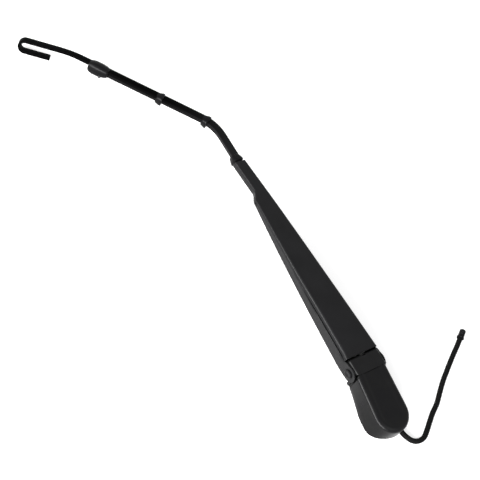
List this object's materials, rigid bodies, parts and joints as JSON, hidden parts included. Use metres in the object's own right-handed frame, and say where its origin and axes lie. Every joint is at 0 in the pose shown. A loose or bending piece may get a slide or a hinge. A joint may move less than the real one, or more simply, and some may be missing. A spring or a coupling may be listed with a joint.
{
  "type": "wiper arm",
  "caption": "Wiper arm with a tapering folded channel, sprung hinged head, flip-up nut cover, washer hose, bar nozzle and a twisted hook for the blade.",
  "frame": {"origin": "on the spindle axis at the base of the head, at the mouth of the spindle seat", "axes": "+X from the spindle along the channel to the hook, +Z away from the glass, +Y to the side that the bar bends to"},
  "size_m": [0.5368, 0.2821, 0.0273],
  "materials": {
    "cast_black": "satin",
    "sheet_black": "satin",
    "bar_black": "satin",
    "pin_black": "satin",
    "cover_plastic": "fine satin",
    "nylon_black": "satin",
    "jet_plastic": "satin",
    "rubber_hose": "matte",
    "rubber_grommet": "matte",
    "zinc_steel": "zinc plated",
    "spring_steel": "oiled",
    "bronze_bush": "sintered, oiled"
  },
  "bodies": {
    "head": {"head_casting": "cast_black", "hinge_bush_left": "bronze_bush", "hinge_bush_right": "bronze_bush", "anchor_pin": "zinc_steel", "head_grommet": "rubber_grommet", "hose_hinge": "rubber_hose", "hose_free": "rubber_hose", "hose_connector": "nylon_black", "connector_seal": "rubber_grommet"},
    "arm": {"channel": "sheet_black", "hinge_pin_left": "pin_black", "hinge_pin_right": "pin_black", "wiper_bar": "bar_black", "bar_rivets": "pin_black", "spring_rivet": "pin_black", "hose_clip_inner": "nylon_black", "hose_arm": "rubber_hose", "neck_grommet": "nylon_black", "bar_clip_one": "nylon_black", "bar_clip_two": "nylon_black", "nozzle_body": "nylon_black", "nozzle_lid": "nylon_black", "nozzle_insert": "jet_plastic"},
    "cover": {"nut_cover": "cover_plastic"},
    "link": {"spring_link": "zinc_steel"},
    "spring": {"tension_spring": "spring_steel"}
  },
  "joints": [
    {"name": "arm_lift", "type": "hinge", "parent": "head", "child": "arm", "pos_m": [0.0495, -0.004, 0.0175], "axis": [0, -1, 0], "range_deg": [0, 60], "deforming": ["hose_hinge", "tension_spring"]},
    {"name": "cover_flip", "type": "hinge", "parent": "head", "child": "cover", "pos_m": [0.0395, -0.004, 0.0227], "axis": [0, 1, 0], "range_deg": [0, 66]},
    {"name": "link_swing", "type": "hinge", "parent": "head", "child": "link", "pos_m": [0.051, -0.004, 0.0085], "axis": [0, -1, 0], "range_deg": [0, 59]},
    {"name": "spring_swing", "type": "hinge", "parent": "arm", "child": "spring", "pos_m": [0.1455, -0.004, 0.015], "axis": [0, -1, 0], "range_deg": [-2.5, 0]}
  ],
  "couplings": [
    {"joint": "link_swing", "follows": "arm_lift", "ratio": 0.965},
    {"joint": "spring_swing", "follows": "arm_lift", "ratio": -0.035}
  ]
}
